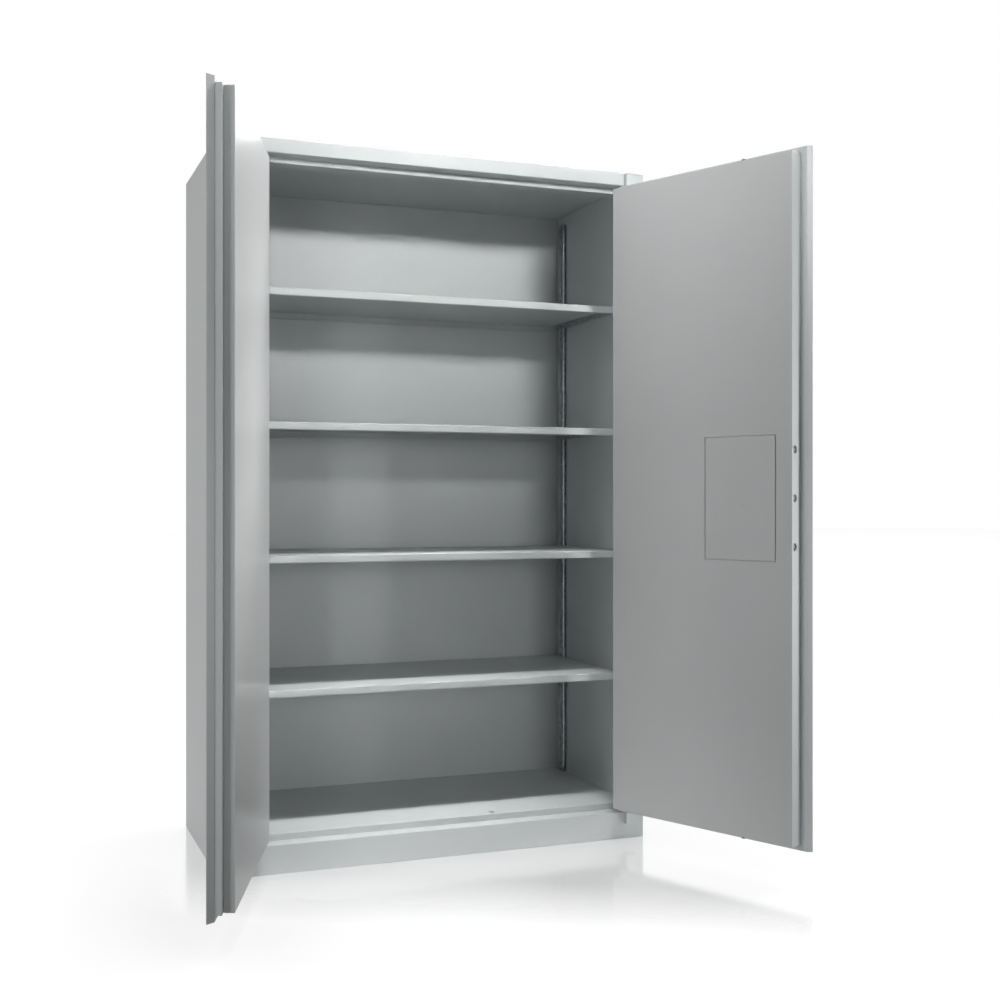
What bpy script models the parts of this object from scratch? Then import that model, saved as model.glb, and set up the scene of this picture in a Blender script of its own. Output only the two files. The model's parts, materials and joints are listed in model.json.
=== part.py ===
"""Two-door steel office cabinet with shelves and a bolt lock in its right door.

Units are metres, +Z is up and the front faces -Y. The origin is the centre of the underside.
Both doors stand open, which is the rest pose.
"""

import math

import bmesh
import bpy
from mathutils import Matrix, Vector

# Overall size
WIDTH = 1.260
HEIGHT = 1.950
DEPTH = 0.540

# Sheet metal and fits
SKIN = 0.0015
GAP = 0.0003
EDGE = 0.0006
OVERCUT = 0.004

# Front frame
RAIL_HEIGHT = 0.038
SILL_HEIGHT = 0.077
STILE_WIDTH = 0.036
FRAME_DEPTH = 0.0427

# Walls behind the frame, all with two skins
WALL = 0.018
FLOOR_THICKNESS = 0.020
FLOOR_RISE = 0.017

# Door stops inside the opening
TOP_STOP_DROP = 0.015
TOP_STOP_DEPTH = 0.045
SIDE_STOP_REACH = 0.009
SIDE_STOP_DEPTH = 0.017

# Shelves, each a folded tray on two bearers between four uprights
SHELF_THICKNESS = 0.021
SHELF_SHEET = 0.0015
SHELF_LIP = 0.012
SHELF_SETBACK = 0.086
SHELF_REAR_GAP = 0.007
FIRST_SHELF_RISE = 0.3785
SHELF_PITCH = 0.3665
LEAST_TOP_ROOM = 0.250
UPRIGHT_WIDTH = 0.030
UPRIGHT_DEPTH = 0.0117
UPRIGHT_SETBACK = 0.014
UPRIGHT_REAR_GAP = 0.025
UPRIGHT_TOP_GAP = 0.032
BEARER_REACH = 0.016
BEARER_HEIGHT = 0.014
BEARER_SHEET = 0.002
BEARER_END_GAP = 0.002

# Hinges
PIN_RADIUS = 0.003
PIN_WALL = 0.002
PIN_DEPTH = 0.026
BARREL_RADIUS = 0.012
BARREL_LENGTH = 0.043
BARREL_SIDE_GAP = 0.0015
BARREL_WEB_BACK = 0.009
BLOCK_HEIGHT = 0.036
BLOCK_WIDTH = 0.033
BLOCK_PROUD = 0.017
TOP_HINGE_DROP = 0.0035
BOTTOM_HINGE_RISE = 0.005

# Doors
LEFT_OPENING = 110.6
RIGHT_OPENING = 115.8
DOOR_SETBACK = 0.021
DOOR_DEPTH = 0.057
DOOR_SIDE_GAP = 0.004
DOOR_MIDDLE_GAP = 0.004
DOOR_END_GAP = 0.0085
LEFT_PLATE = 0.016
RIGHT_PLATE = 0.0115
PLATE_EDGE_FLAT = 0.0015
PLATE_RIM = 0.018
DOOR_LEDGE = 0.018
LEFT_STEP = 0.0157
HINGE_SIDE_INSET = 0.009
LEFT_END_INSET = 0.014
RIGHT_END_INSET = 0.016

# Lock case in the right door
LOCK_BACKSET = 0.1605
CASE_HEIGHT = 0.996
LOCK_DROP = 0.018
CASE_WALL = 0.010
CASE_FLOOR = 0.0082
COVER_WIDTH = 0.2045
COVER_LENGTH = 0.327
COVER_SHEET = 0.002
COVER_INSET = 0.046
COVER_LEDGE = 0.004

# Bolts and rods
SIDE_BOLT_RADIUS = 0.008
SIDE_BOLT_PITCH = 0.1255
SIDE_BOLT_CLEARANCE = 0.001
SIDE_BOLT_RECESS = 0.0015
BAR_OFFSET = 0.010
BAR_WIDTH = 0.010
BAR_END = 0.015
ROD_RADIUS = 0.006
ROD_OFFSET = 0.010
ROD_DEPTH = 0.012
ROD_SHOW = 0.006
ROD_START = 0.040
SLIDE_CLEARANCE = 0.0005
KEEPER_RADIUS = 0.009

# Handle and key cylinder on the right door's outer face
SPINDLE_RADIUS = 0.005
SPINDLE_RECESS = 0.0005
CAM_RADIUS = 0.030
CAM_THICKNESS = 0.0065
ROSETTE_RADIUS = 0.026
ROSETTE_THICKNESS = 0.006
HUB_RADIUS = 0.014
HUB_LENGTH = 0.028
ARM_LENGTH = 0.120
ARM_THICKNESS = 0.012
ARM_TIP_RADIUS = 0.009
ARM_EDGE = 0.002
KEY_RISE = 0.085
KEY_CYLINDER_RADIUS = 0.011
KEY_CYLINDER_PROUD = 0.008
PLUG_RADIUS = 0.006
PLUG_RECESS = 0.0005
PLUG_TAIL = 0.004
KEY_SLOT_WIDTH = 0.0022
KEY_SLOT_HEIGHT = 0.009
KEY_SLOT_DEPTH = 0.012

# Roundness
SIDES = 32
BEVEL_ANGLE = math.radians(50.0)
SMOOTH_ANGLE = math.radians(40.0)

# Finishes: colour, roughness and metallic value
POWDER_COAT = ((0.58, 0.60, 0.61), 0.45, 0.0)
ZINC_PLATE = ((0.62, 0.62, 0.63), 0.35, 1.0)
SATIN_CHROME = ((0.70, 0.70, 0.70), 0.22, 1.0)
NICKELLED_BRASS = ((0.66, 0.64, 0.58), 0.28, 1.0)

# Places that follow from the sizes
LEFT = -WIDTH / 2
RIGHT = WIDTH / 2
FRONT = -DEPTH / 2
BACK = DEPTH / 2
OPEN_LOW = SILL_HEIGHT
OPEN_HIGH = HEIGHT - RAIL_HEIGHT
SHELL_FRONT = FRONT + FRAME_DEPTH + GAP
REAR_FACE = BACK - WALL
CEILING = HEIGHT - WALL
INNER_LEFT = LEFT + WALL + GAP
INNER_RIGHT = RIGHT - WALL - GAP
FLOOR_TOP = SILL_HEIGHT + FLOOR_RISE
FLOOR_UNDER = FLOOR_TOP - FLOOR_THICKNESS
STOP_LOW = OPEN_HIGH - TOP_STOP_DROP
SHELF_FRONT = FRONT + SHELF_SETBACK
SHELF_BACK = REAR_FACE - SHELF_REAR_GAP

PIVOT_INSET = STILE_WIDTH + BARREL_SIDE_GAP + BARREL_RADIUS
PIVOT_FORWARD = PIN_RADIUS + PIN_WALL
PIVOT_Y = FRONT - PIVOT_FORWARD
TOP_SPLIT = OPEN_HIGH - TOP_HINGE_DROP
BOTTOM_SPLIT = OPEN_LOW + BOTTOM_HINGE_RISE

# Door places, measured from the pivot: along the door, through it from the front, and up
HINGE_EDGE = STILE_WIDTH + DOOR_SIDE_GAP - PIVOT_INSET
FREE_EDGE = RIGHT - PIVOT_INSET - DOOR_MIDDLE_GAP / 2
INNER_HINGE_EDGE = HINGE_EDGE + HINGE_SIDE_INSET
DOOR_LOW = OPEN_LOW + DOOR_END_GAP
DOOR_HIGH = OPEN_HIGH - DOOR_END_GAP
DOOR_FACE = DOOR_SETBACK + PIVOT_FORWARD
DOOR_BACK = DOOR_FACE + DOOR_DEPTH
LEFT_INNER_EDGE = FREE_EDGE - (LEFT_PLATE - PLATE_EDGE_FLAT)
RIGHT_INNER_EDGE = FREE_EDGE - (RIGHT_PLATE - PLATE_EDGE_FLAT)
LEFT_STEP_FACE = DOOR_FACE + LEFT_PLATE + GAP
LEFT_STEP_BACK = LEFT_STEP_FACE + LEFT_STEP
CORE_FACE = DOOR_FACE + RIGHT_PLATE + GAP
CORE_END = RIGHT_INNER_EDGE - DOOR_LEDGE
CORE_LOW = DOOR_LOW + RIGHT_END_INSET
CORE_HIGH = DOOR_HIGH - RIGHT_END_INSET

# Lock places on the right door
LOCK_ALONG = FREE_EDGE - LOCK_BACKSET
LOCK_HEIGHT = CASE_HEIGHT - LOCK_DROP
COVER_END = CORE_END - COVER_INSET
COVER_START = COVER_END - COVER_WIDTH
COVER_LOW = CASE_HEIGHT - COVER_LENGTH / 2
COVER_HIGH = CASE_HEIGHT + COVER_LENGTH / 2
COVER_FACE = DOOR_BACK - COVER_SHEET
CASE_FACE = CORE_FACE + CASE_FLOOR
SIDE_BOLT_DEPTH = LEFT_STEP_BACK + SIDE_BOLT_CLEARANCE + SIDE_BOLT_RADIUS
BAR_START = LOCK_ALONG + BAR_OFFSET
BAR_FACE = SIDE_BOLT_DEPTH - SIDE_BOLT_RADIUS
ROD_ALONG = LOCK_ALONG - ROD_OFFSET
ROD_PLACE = DOOR_BACK - ROD_DEPTH
ROSETTE_FACE = DOOR_FACE - GAP - ROSETTE_THICKNESS
HUB_FACE = ROSETTE_FACE - GAP - HUB_LENGTH
KEEPER_X = RIGHT - PIVOT_INSET - ROD_ALONG
KEEPER_Y = PIVOT_Y + ROD_PLACE

AXES = "xyz"
PLANES = {
    "xy": lambda across, up, along: (across, up, along),
    "xz": lambda across, up, along: (across, along, up),
    "yz": lambda across, up, along: (along, across, up),
}


def clear_scene():
    for thing in list(bpy.data.objects):
        bpy.data.objects.remove(thing)


def make_finish(name, look):
    colour, roughness, metallic = look
    material = bpy.data.materials.new(name + "_finish")
    material.use_nodes = True
    shader = material.node_tree.nodes["Principled BSDF"]
    shader.inputs["Base Color"].default_value = (*colour, 1.0)
    shader.inputs["Roughness"].default_value = roughness
    shader.inputs["Metallic"].default_value = metallic
    return material


def add_object(name, shape, look, parent):
    """Turn a bmesh into an object; a piece with no look is a cutter."""
    mesh = bpy.data.meshes.new(name)
    bmesh.ops.recalc_face_normals(shape, faces=shape.faces)
    shape.to_mesh(mesh)
    shape.free()
    thing = bpy.data.objects.new(name, mesh)
    bpy.context.collection.objects.link(thing)
    thing.parent = parent
    if look:
        mesh.materials.append(make_finish(name, look))
    else:
        thing.hide_render = True
        thing.display_type = "WIRE"
    return thing


def add_empty(name, location, turn=0.0, parent=None):
    empty = bpy.data.objects.new(name, None)
    bpy.context.collection.objects.link(empty)
    empty.location = location
    empty.rotation_euler = (0.0, 0.0, math.radians(turn))
    empty.parent = parent
    return empty


def bevel_sharp_edges(shape, width):
    sharp = [edge for edge in shape.edges if edge.calc_face_angle(0.0) > BEVEL_ANGLE]
    bmesh.ops.bevel(shape, geom=sharp, offset=width, segments=1, affect="EDGES")


def box(name, x, y, z, look=None, parent=None, edge=EDGE):
    """Box between two values on each axis, with its origin at its centre."""
    low = Vector((min(x), min(y), min(z)))
    high = Vector((max(x), max(y), max(z)))
    shape = bmesh.new()
    bmesh.ops.create_cube(shape, size=1.0, matrix=Matrix.Diagonal((*(high - low), 1.0)))
    if look and edge:
        bevel_sharp_edges(shape, edge)
    thing = add_object(name, shape, look, parent)
    thing.location = (low + high) / 2
    return thing


def prism(name, outline, plane, span, look=None, parent=None, edge=0.0):
    """Outline in one plane, pushed along the third axis between two values."""
    place = PLANES[plane]
    shape = bmesh.new()
    corners = [shape.verts.new(place(across, up, span[0])) for across, up in outline]
    face = shape.faces.new(corners)
    pushed = bmesh.ops.extrude_face_region(shape, geom=[face])
    moved = [item for item in pushed["geom"] if isinstance(item, bmesh.types.BMVert)]
    bmesh.ops.translate(shape, verts=moved, vec=Vector(place(0.0, 0.0, span[1] - span[0])))
    if edge:
        bmesh.ops.recalc_face_normals(shape, faces=shape.faces)
        bevel_sharp_edges(shape, edge)
    thing = add_object(name, shape, look, parent)
    smooth(thing)
    return thing


def round_bar(name, axis, centre, span, radius, look=None, parent=None):
    """Round bar along an axis, between two values, with its origin at its middle.

    The centre holds the two other coordinates in x, y, z order.
    """
    length = span[1] - span[0]
    turns = {"x": Matrix.Rotation(math.pi / 2, 3, "Y"), "y": Matrix.Rotation(math.pi / 2, 3, "X")}
    shape = bmesh.new()
    bmesh.ops.create_cone(
        shape, cap_ends=True, segments=SIDES, radius1=radius, radius2=radius, depth=length
    )
    if axis in turns:
        bmesh.ops.rotate(shape, cent=Vector(), matrix=turns[axis], verts=shape.verts)
    thing = add_object(name, shape, look, parent)
    place = list(centre)
    place.insert(AXES.index(axis), (span[0] + span[1]) / 2)
    thing.location = place
    smooth(thing)
    return thing


def smooth(thing):
    thing.data.shade_smooth()
    thing.data.set_sharp_from_angle(angle=SMOOTH_ANGLE)


def combine(target, tool, operation):
    modifier = target.modifiers.new(operation.lower() + "_" + tool.name, "BOOLEAN")
    modifier.operation = operation
    modifier.solver = "EXACT"
    modifier.object = tool


def cut(target, tool):
    combine(target, tool, "DIFFERENCE")


def hollow(target, open_side, skin=SKIN):
    """Empty a box, leaving a skin on every side but one, such as -y."""
    corners = [vertex.co for vertex in target.data.vertices]
    low = Vector([min(corner[i] for corner in corners) + skin for i in range(3)])
    high = Vector([max(corner[i] for corner in corners) - skin for i in range(3)])
    axis = AXES.index(open_side[1])
    if open_side[0] == "+":
        high[axis] += skin + OVERCUT
    else:
        low[axis] -= skin + OVERCUT
    low += target.location
    high += target.location
    inside = box(target.name + "_inside", *zip(low, high), parent=target.parent)
    cut(target, inside)


def arc(centre, radius, start, end):
    """Points on an arc, in degrees, as fine as a full round bar."""
    steps = max(2, round(SIDES * abs(end - start) / 360.0))
    angles = [math.radians(start + (end - start) * step / steps) for step in range(steps + 1)]
    return [(centre[0] + radius * math.cos(a), centre[1] + radius * math.sin(a)) for a in angles]


def make_frame():
    depth = (FRONT, FRONT + FRAME_DEPTH)
    rail = box("frame_top_rail", (LEFT, RIGHT), depth, (OPEN_HIGH, HEIGHT), POWDER_COAT)
    sill = box("frame_sill", (LEFT, RIGHT), depth, (0.0, OPEN_LOW), POWDER_COAT)
    between = (OPEN_LOW + GAP, OPEN_HIGH - GAP)
    left = box("frame_stile_left", (LEFT, LEFT + STILE_WIDTH), depth, between, POWDER_COAT)
    right = box("frame_stile_right", (RIGHT - STILE_WIDTH, RIGHT), depth, between, POWDER_COAT)
    for piece in (rail, sill, left, right):
        hollow(piece, "+y")


def make_shell():
    inner = (INNER_LEFT, INNER_RIGHT)
    full_depth = (SHELL_FRONT, BACK)
    room_depth = (SHELL_FRONT, REAR_FACE - GAP)
    left = box("side_wall_left", (LEFT, LEFT + WALL), full_depth, (0.0, HEIGHT), POWDER_COAT)
    right = box("side_wall_right", (RIGHT - WALL, RIGHT), full_depth, (0.0, HEIGHT), POWDER_COAT)
    top = box("top_panel", inner, full_depth, (CEILING, HEIGHT), POWDER_COAT)
    back = box("back_panel", inner, (REAR_FACE, BACK), (0.0, CEILING - GAP), POWDER_COAT)
    floor = box("floor_panel", inner, room_depth, (FLOOR_UNDER, FLOOR_TOP), POWDER_COAT)
    base = box("base_plinth", inner, room_depth, (0.0, FLOOR_UNDER - GAP), POWDER_COAT)
    for piece, open_side in (
        (left, "-y"), (right, "-y"), (top, "-y"), (back, "+z"), (floor, "-z"), (base, "+z")
    ):
        hollow(piece, open_side)
    cut_keeper(floor, FLOOR_TOP)


def cut_keeper(target, level):
    """Hole that a rod of the right door drops into when the door is locked."""
    span = (level - SKIN - OVERCUT, level + SKIN + OVERCUT)
    hole = round_bar(target.name + "_keeper", "z", (KEEPER_X, KEEPER_Y), span, KEEPER_RADIUS)
    cut(target, hole)


def make_stops():
    top = box(
        "top_stop",
        (INNER_LEFT, INNER_RIGHT),
        (SHELL_FRONT, SHELL_FRONT + TOP_STOP_DEPTH),
        (STOP_LOW, CEILING - GAP),
        POWDER_COAT,
    )
    hollow(top, "+z")
    cut_keeper(top, STOP_LOW)
    reach = STILE_WIDTH + SIDE_STOP_REACH
    depth = (SHELL_FRONT, SHELL_FRONT + SIDE_STOP_DEPTH)
    height = (FLOOR_TOP + GAP, STOP_LOW - GAP)
    left = box("side_stop_left", (INNER_LEFT, LEFT + reach), depth, height, POWDER_COAT)
    right = box("side_stop_right", (RIGHT - reach, INNER_RIGHT), depth, height, POWDER_COAT)
    hollow(left, "-x")
    hollow(right, "+x")


def make_uprights():
    front = SHELF_FRONT + UPRIGHT_SETBACK
    rear = SHELF_BACK - UPRIGHT_REAR_GAP
    height = (FLOOR_TOP + GAP, CEILING - UPRIGHT_TOP_GAP)
    for row, depth in (("front", (front, front + UPRIGHT_WIDTH)), ("rear", (rear - UPRIGHT_WIDTH, rear))):
        left = box(
            "upright_left_" + row, (INNER_LEFT, INNER_LEFT + UPRIGHT_DEPTH), depth, height, ZINC_PLATE
        )
        right = box(
            "upright_right_" + row, (INNER_RIGHT - UPRIGHT_DEPTH, INNER_RIGHT), depth, height, ZINC_PLATE
        )
        hollow(left, "-x")
        hollow(right, "+x")


def shelf_outline(top):
    """Folded sheet: a flat top with an apron and a turned-in lip at the front and the back."""
    low = top - SHELF_THICKNESS
    sheet = SHELF_SHEET
    front, back, lip = SHELF_FRONT, SHELF_BACK, SHELF_LIP
    return [
        (front, top), (back, top), (back, low), (back - lip, low),
        (back - lip, low + sheet), (back - sheet, low + sheet), (back - sheet, top - sheet),
        (front + sheet, top - sheet), (front + sheet, low + sheet),
        (front + lip, low + sheet), (front + lip, low), (front, low),
    ]


def bearer_outline(start, direction, top):
    """Angle under a shelf's end: one leg on the uprights and one leg under the sheet."""
    sheet = BEARER_SHEET * direction
    reach = start + BEARER_REACH * direction
    low = top - BEARER_HEIGHT
    return [
        (start, top), (reach, top), (reach, top - BEARER_SHEET),
        (start + sheet, top - BEARER_SHEET), (start + sheet, low), (start, low),
    ]


def make_shelves():
    first_top = FLOOR_TOP + FIRST_SHELF_RISE
    count = 1 + math.floor((CEILING - first_top - LEAST_TOP_ROOM) / SHELF_PITCH)
    side = UPRIGHT_DEPTH + GAP
    width = (INNER_LEFT + side, INNER_RIGHT - side)
    clear = SHELF_LIP + BEARER_END_GAP
    depth = (SHELF_FRONT + clear, SHELF_BACK - clear)
    for number in range(1, count + 1):
        top = first_top + (number - 1) * SHELF_PITCH
        prism("shelf_%d" % number, shelf_outline(top), "yz", width, POWDER_COAT)
        seat = top - SHELF_SHEET - GAP
        for name, start, direction in (("left", width[0], 1.0), ("right", width[1], -1.0)):
            outline = bearer_outline(start, direction, seat)
            prism("bearer_%s_%d" % (name, number), outline, "xz", depth, ZINC_PLATE)


def make_fixed_hinges(side, pivot_x):
    """Blocks on the front frame, with the pins that the door turns on."""
    across = (pivot_x - BLOCK_WIDTH / 2, pivot_x + BLOCK_WIDTH / 2)
    depth = (FRONT - BLOCK_PROUD, FRONT - GAP)
    for end, split, up in (("top", TOP_SPLIT, 1.0), ("bottom", BOTTOM_SPLIT, -1.0)):
        seat = split + GAP * up
        block = box(
            "hinge_block_%s_%s" % (side, end), across, depth, (seat, seat + BLOCK_HEIGHT * up), POWDER_COAT
        )
        bore_span = sorted((seat - OVERCUT * up, seat + (PIN_DEPTH + GAP) * up))
        bore = round_bar(
            block.name + "_bore", "z", (pivot_x, PIVOT_Y), bore_span, PIN_RADIUS + GAP
        )
        cut(block, bore)
        pin_span = sorted((split - (BARREL_LENGTH - PIN_RADIUS) * up, seat + PIN_DEPTH * up))
        round_bar(
            "hinge_pin_%s_%s" % (side, end), "z", (pivot_x, PIVOT_Y), pin_span, PIN_RADIUS, ZINC_PLATE
        )


def make_barrels(side, sign, pivot):
    """Barrels of the door, each with a web to the plate's outer face."""
    web_back = DOOR_FACE - GAP
    turn = math.degrees(math.acos(BARREL_WEB_BACK / BARREL_RADIUS))
    outline = [(BARREL_RADIUS, web_back), (-BARREL_WEB_BACK, web_back)]
    outline += arc((0.0, 0.0), BARREL_RADIUS, 180.0 - turn, 360.0)
    outline = [(along * sign, through) for along, through in outline]
    for end, split, up in (("top", TOP_SPLIT, -1.0), ("bottom", BOTTOM_SPLIT, 1.0)):
        span = sorted((split, split + BARREL_LENGTH * up))
        name = "door_barrel_%s_%s" % (side, end)
        barrel = prism(name, outline, "xy", span, POWDER_COAT, pivot)
        bore_span = (span[0] - OVERCUT, span[1] + OVERCUT)
        bore = round_bar(name + "_bore", "z", (0.0, 0.0), bore_span, PIN_RADIUS + GAP, parent=pivot)
        cut(barrel, bore)


def make_plate(side, sign, pivot, thickness, inner_edge):
    """Outer plate of a door, with its free edge cut back at 45 degrees behind a narrow flat."""
    back = DOOR_FACE + thickness
    outline = [
        (HINGE_EDGE, DOOR_FACE), (FREE_EDGE, DOOR_FACE), (FREE_EDGE, DOOR_FACE + PLATE_EDGE_FLAT),
        (inner_edge, back), (HINGE_EDGE, back),
    ]
    outline = [(along * sign, through) for along, through in outline]
    plate = prism(side + "_door_plate", outline, "xy", (DOOR_LOW, DOOR_HIGH), POWDER_COAT, pivot)
    pocket = box(
        plate.name + "_pocket",
        (sign * (HINGE_EDGE + PLATE_RIM), sign * (inner_edge - PLATE_RIM)),
        (DOOR_FACE + SKIN, back + OVERCUT),
        (DOOR_LOW + PLATE_RIM, DOOR_HIGH - PLATE_RIM),
        parent=pivot,
    )
    cut(plate, pocket)
    return plate


def make_left_door(pivot):
    make_plate("left", 1.0, pivot, LEFT_PLATE, LEFT_INNER_EDGE)
    make_barrels("left", 1.0, pivot)
    height = (DOOR_LOW + LEFT_END_INSET, DOOR_HIGH - LEFT_END_INSET)
    step = box(
        "left_door_step",
        (INNER_HINGE_EDGE, LEFT_INNER_EDGE),
        (LEFT_STEP_FACE, LEFT_STEP_BACK),
        height,
        POWDER_COAT,
        pivot,
    )
    inner = box(
        "left_door_inner",
        (INNER_HINGE_EDGE, LEFT_INNER_EDGE - DOOR_LEDGE),
        (LEFT_STEP_BACK + GAP, DOOR_BACK),
        height,
        POWDER_COAT,
        pivot,
    )
    hollow(step, "-y")
    hollow(inner, "-y")


def make_right_door(pivot):
    plate = make_plate("right", -1.0, pivot, RIGHT_PLATE, RIGHT_INNER_EDGE)
    make_barrels("right", -1.0, pivot)
    core = box(
        "right_door_inner",
        (-INNER_HINGE_EDGE, -CORE_END),
        (CORE_FACE, DOOR_BACK),
        (CORE_LOW, CORE_HIGH),
        POWDER_COAT,
        pivot,
    )
    empty_core(core, pivot)
    cut_lock_case(core, pivot)
    for target in (plate, core):
        cut_lock_holes(target, pivot)
    make_cover(pivot)


def empty_core(core, pivot):
    """Hollow that goes round the lock case on three sides and is open towards the plate."""
    start, end = INNER_HINGE_EDGE + SKIN, CORE_END - SKIN
    low, high = CORE_LOW + SKIN, CORE_HIGH - SKIN
    case_start = COVER_START + COVER_LEDGE - CASE_WALL
    case_low = COVER_LOW + COVER_LEDGE - CASE_WALL
    case_high = COVER_HIGH - COVER_LEDGE + CASE_WALL
    outline = [
        (start, low), (end, low), (end, case_low), (case_start, case_low),
        (case_start, case_high), (end, case_high), (end, high), (start, high),
    ]
    outline = [(-along, up) for along, up in outline]
    inside = prism(
        core.name + "_inside", outline, "xz", (CORE_FACE - OVERCUT, DOOR_BACK - SKIN), parent=pivot
    )
    cut(core, inside)


def cut_lock_case(core, pivot):
    """Case for the bolt work, a rebate for its cover, and the bores that bolts and rods run in."""
    case = box(
        core.name + "_case",
        (-(COVER_START + COVER_LEDGE), -(COVER_END - COVER_LEDGE)),
        (CASE_FACE, DOOR_BACK + OVERCUT),
        (COVER_LOW + COVER_LEDGE, COVER_HIGH - COVER_LEDGE),
        parent=pivot,
    )
    rebate = box(
        core.name + "_rebate",
        (-(COVER_START - GAP), -(COVER_END + GAP)),
        (COVER_FACE - GAP, DOOR_BACK + OVERCUT),
        (COVER_LOW - GAP, COVER_HIGH + GAP),
        parent=pivot,
    )
    cut(core, case)
    cut(core, rebate)
    bolt_span = (-(CORE_END + OVERCUT), -(COVER_END - COVER_LEDGE - OVERCUT))
    for number, height in side_bolt_heights():
        bore = round_bar(
            "%s_bolt_bore_%d" % (core.name, number),
            "x",
            (SIDE_BOLT_DEPTH, height),
            bolt_span,
            SIDE_BOLT_RADIUS + SLIDE_CLEARANCE,
            parent=pivot,
        )
        cut(core, bore)
    inner_low = COVER_LOW + COVER_LEDGE + OVERCUT
    inner_high = COVER_HIGH - COVER_LEDGE - OVERCUT
    for end, span in (("top", (inner_high, CORE_HIGH + OVERCUT)), ("bottom", (CORE_LOW - OVERCUT, inner_low))):
        bore = round_bar(
            "%s_%s_rod_bore" % (core.name, end),
            "z",
            (-ROD_ALONG, ROD_PLACE),
            span,
            ROD_RADIUS + SLIDE_CLEARANCE,
            parent=pivot,
        )
        cut(core, bore)


def side_bolt_heights():
    return [(number, CASE_HEIGHT + (number - 2) * SIDE_BOLT_PITCH) for number in (1, 2, 3)]


def cut_lock_holes(target, pivot):
    """Holes for the spindle and the key cylinder through the plate and the case floor."""
    span = (DOOR_FACE - OVERCUT, CASE_FACE + OVERCUT)
    for name, height, radius in (
        ("spindle", LOCK_HEIGHT, SPINDLE_RADIUS), ("key", LOCK_HEIGHT + KEY_RISE, KEY_CYLINDER_RADIUS)
    ):
        hole = round_bar(
            "%s_%s_hole" % (target.name, name), "y", (-LOCK_ALONG, height), span, radius + GAP, parent=pivot
        )
        cut(target, hole)


def make_cover(pivot):
    """Flush cover of the lock case, with a hole that shows the spindle's end."""
    cover = box(
        "lock_cover",
        (-COVER_START, -COVER_END),
        (COVER_FACE, DOOR_BACK),
        (COVER_LOW, COVER_HIGH),
        POWDER_COAT,
        pivot,
    )
    hole = round_bar(
        "lock_cover_hole",
        "y",
        (-LOCK_ALONG, LOCK_HEIGHT),
        (COVER_FACE - OVERCUT, DOOR_BACK + OVERCUT),
        SPINDLE_RADIUS + SLIDE_CLEARANCE,
        parent=pivot,
    )
    cut(cover, hole)


def make_handle(pivot):
    """Lever, hub and spindle on the lock axis; the lever lies level while the bolts are drawn."""
    axis = add_empty("lock_axis", (-LOCK_ALONG, 0.0, LOCK_HEIGHT), parent=pivot)
    rosette = round_bar(
        "handle_rosette",
        "y",
        (-LOCK_ALONG, LOCK_HEIGHT),
        (ROSETTE_FACE, DOOR_FACE - GAP),
        ROSETTE_RADIUS,
        SATIN_CHROME,
        pivot,
    )
    hub = round_bar(
        "lever_hub", "y", (0.0, 0.0), (HUB_FACE, HUB_FACE + HUB_LENGTH), HUB_RADIUS, SATIN_CHROME, axis
    )
    bore_span = (HUB_FACE - OVERCUT, DOOR_FACE + OVERCUT)
    for target, centre, parent in ((rosette, (-LOCK_ALONG, LOCK_HEIGHT), pivot), (hub, (0.0, 0.0), axis)):
        bore = round_bar(
            target.name + "_bore", "y", centre, bore_span, SPINDLE_RADIUS + GAP, parent=parent
        )
        cut(target, bore)
    outline = arc((0.0, 0.0), HUB_RADIUS, 90.0, 270.0)
    outline += arc((ARM_LENGTH - ARM_TIP_RADIUS, 0.0), ARM_TIP_RADIUS, -90.0, 90.0)
    arm_back = HUB_FACE - GAP
    prism("lever_arm", outline, "xz", (arm_back - ARM_THICKNESS, arm_back), SATIN_CHROME, axis, ARM_EDGE)
    spindle_span = (HUB_FACE, DOOR_BACK - SPINDLE_RECESS)
    spindle = round_bar("lock_spindle", "y", (0.0, 0.0), spindle_span, SPINDLE_RADIUS, ZINC_PLATE, axis)
    cam_back = BAR_FACE - GAP
    cam = round_bar(
        "lock_spindle_cam", "y", (0.0, 0.0), (cam_back - CAM_THICKNESS, cam_back), CAM_RADIUS, parent=axis
    )
    combine(spindle, cam, "UNION")


def make_key_cylinder(pivot):
    height = LOCK_HEIGHT + KEY_RISE
    axis = add_empty("key_axis", (-LOCK_ALONG, 0.0, height), parent=pivot)
    front = DOOR_FACE - KEY_CYLINDER_PROUD
    centre = (-LOCK_ALONG, height)
    cylinder = round_bar(
        "key_cylinder", "y", centre, (front, CASE_FACE), KEY_CYLINDER_RADIUS, NICKELLED_BRASS, pivot
    )
    bore = round_bar(
        "key_cylinder_bore",
        "y",
        centre,
        (front - OVERCUT, CASE_FACE + OVERCUT),
        PLUG_RADIUS + GAP,
        parent=pivot,
    )
    cut(cylinder, bore)
    plug_front = front + PLUG_RECESS
    plug = round_bar(
        "key_plug", "y", (0.0, 0.0), (plug_front, CASE_FACE + PLUG_TAIL), PLUG_RADIUS, NICKELLED_BRASS, axis
    )
    slot = box(
        "key_plug_slot",
        (-KEY_SLOT_WIDTH / 2, KEY_SLOT_WIDTH / 2),
        (plug_front - OVERCUT, plug_front + KEY_SLOT_DEPTH),
        (-KEY_SLOT_HEIGHT / 2, KEY_SLOT_HEIGHT / 2),
        parent=axis,
    )
    cut(plug, slot)


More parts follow.
